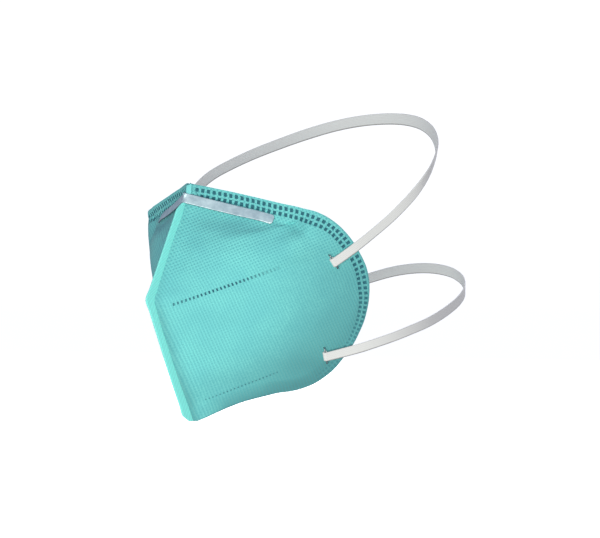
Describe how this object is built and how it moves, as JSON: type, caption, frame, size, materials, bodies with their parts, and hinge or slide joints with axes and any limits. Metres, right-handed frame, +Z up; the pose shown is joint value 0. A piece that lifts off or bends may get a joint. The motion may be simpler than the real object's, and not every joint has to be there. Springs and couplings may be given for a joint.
{
  "type": "disposable respirator",
  "caption": "Worn vertical fold-flat dust respirator with an upright front seam, a bent nose clip and two elastic headbands.",
  "frame": {"origin": "middle of the face opening, on the line from the bridge of the nose to the chin", "axes": "+Z up as worn, -Y is the way the wearer looks, +X is the wearer's left"},
  "size_m": [0.1856, 0.2298, 0.1764],
  "materials": {
    "filter_cloth": "matte, teal nonwoven with weld marks round the rim",
    "welded_seam": "satin, teal nonwoven pressed flat",
    "nose_aluminium": "dull",
    "elastic": "matte, light grey woven elastic",
    "staple_wire": "satin"
  },
  "bodies": {
    "root": {"front_seam": "welded_seam", "nose_clip": "nose_aluminium", "upper_headband": "elastic", "lower_headband": "elastic", "left_panel": "filter_cloth", "right_panel": "filter_cloth", "staple_upper_left": "staple_wire", "staple_upper_right": "staple_wire", "staple_lower_left": "staple_wire", "staple_lower_right": "staple_wire"}
  },
  "joints": []
}
